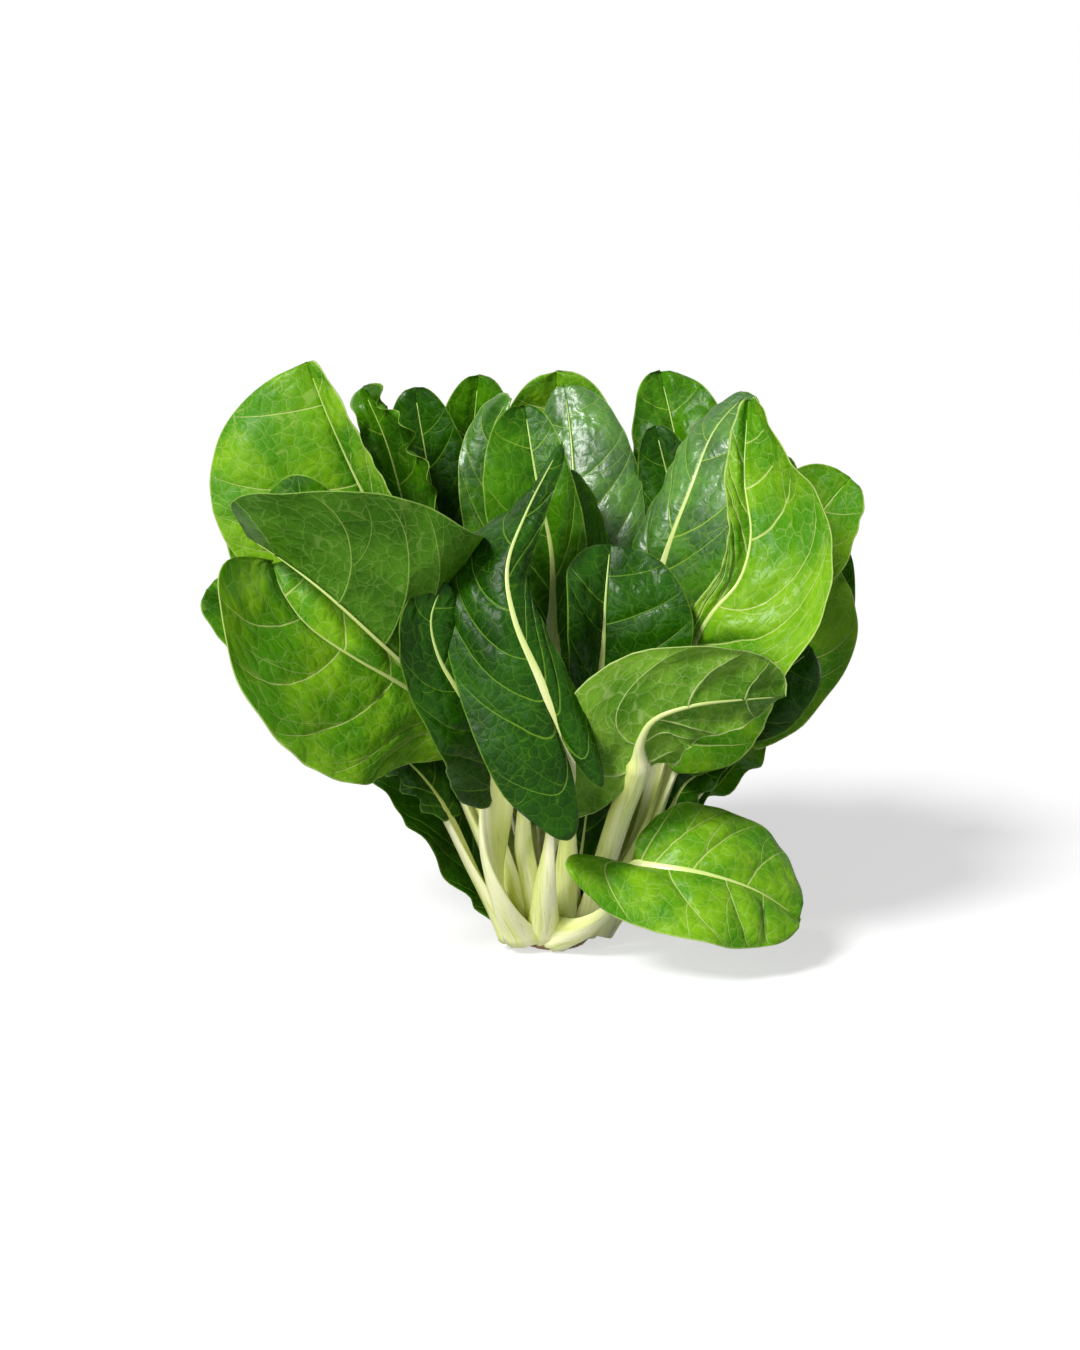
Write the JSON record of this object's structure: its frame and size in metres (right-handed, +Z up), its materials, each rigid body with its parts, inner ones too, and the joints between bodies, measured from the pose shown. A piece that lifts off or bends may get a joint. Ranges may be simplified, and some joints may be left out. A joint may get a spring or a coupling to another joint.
{
  "type": "swiss chard",
  "caption": "Head of Swiss chard: broad glossy green leaves with pale ribbed stalks fan out and droop from one trimmed crown that it stands on.",
  "frame": {"origin": "on the surface the head stands on, under the middle of its box", "axes": "+Z up from the cut crown to the leaf tips, -Y out of the front, +X to the right"},
  "size_m": [0.3932, 0.3208, 0.3525],
  "materials": {
    "crown": "matte",
    "leaf_light": "satin",
    "leaf_mid": "satin",
    "leaf_deep": "satin"
  },
  "bodies": {
    "root": {"crown": "crown", "leaf_front_drooping": "leaf_light", "leaf_front_cupped": "leaf_light", "leaf_right_bright": "leaf_light", "leaf_right_glossy": "leaf_mid", "leaf_centre_round": "leaf_deep", "leaf_front_twisted": "leaf_deep", "leaf_front_dark": "leaf_deep", "leaf_left_folded": "leaf_mid", "leaf_left_bowl": "leaf_light", "leaf_left_low": "leaf_deep", "leaf_left_outer": "leaf_deep", "leaf_left_tall": "leaf_light", "leaf_left_upper": "leaf_mid", "leaf_left_side": "leaf_mid", "leaf_left_crinkled": "leaf_mid", "leaf_back_left_dark": "leaf_deep", "leaf_back_left_tall": "leaf_mid", "leaf_centre_left_glossy": "leaf_mid", "leaf_centre_light": "leaf_mid", "leaf_centre_big": "leaf_mid", "leaf_centre_narrow": "leaf_mid", "leaf_back_centre": "leaf_light", "leaf_back_right_crinkled": "leaf_mid", "leaf_right_inner": "leaf_deep", "leaf_right_shaded": "leaf_deep", "leaf_right_high": "leaf_light", "leaf_right_side": "leaf_light", "leaf_right_far": "leaf_mid", "leaf_right_low": "leaf_deep", "leaf_right_lowest": "leaf_deep", "leaf_right_outer": "leaf_mid", "leaf_right_peeping": "leaf_mid", "leaf_rear_left": "leaf_mid", "leaf_rear_centre_left": "leaf_deep", "leaf_rear_centre": "leaf_mid", "leaf_rear_right": "leaf_deep", "leaf_rear_low_left": "leaf_mid", "leaf_rear_low_right": "leaf_light", "leaf_heart_left": "leaf_light", "leaf_heart_right": "leaf_light", "leaf_heart_rear": "leaf_light", "leaf_heart_front": "leaf_deep", "leaf_inner_left": "leaf_mid", "leaf_inner_right": "leaf_mid", "leaf_inner_rear": "leaf_light"}
  },
  "joints": []
}
